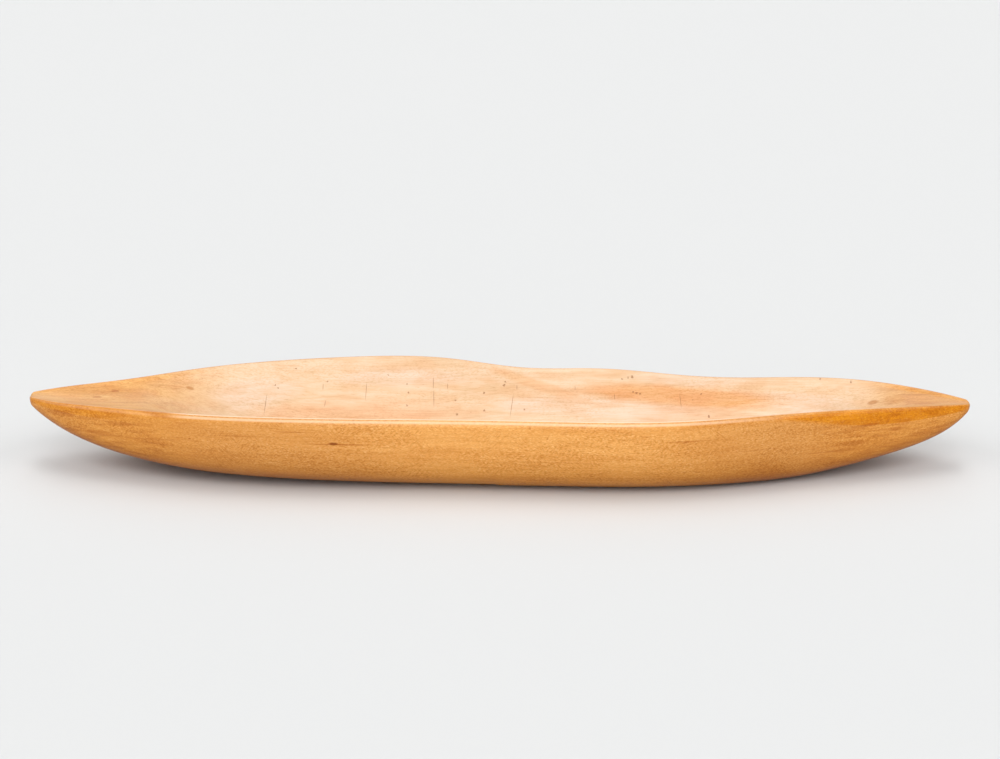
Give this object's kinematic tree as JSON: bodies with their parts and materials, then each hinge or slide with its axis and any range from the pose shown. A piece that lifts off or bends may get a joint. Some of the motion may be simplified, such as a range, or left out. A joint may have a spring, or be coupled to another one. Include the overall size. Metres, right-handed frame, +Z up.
{
  "type": "carved wooden bowl",
  "caption": "Long, narrow leaf-shaped wooden bowl carved from one plank, with two pointed ends, one straight and one wavy rim, and a flat foot.",
  "frame": {"origin": "middle of the bowl's outline, on the plane that its foot stands on", "axes": "+X along the bowl's length to its right tip, +Y towards the wavy rim, +Z up"},
  "size_m": [0.56, 0.1356, 0.0492],
  "materials": {
    "wood": "satin varnish over fine straight grain"
  },
  "bodies": {
    "root": {"bowl": "wood"}
  },
  "joints": []
}
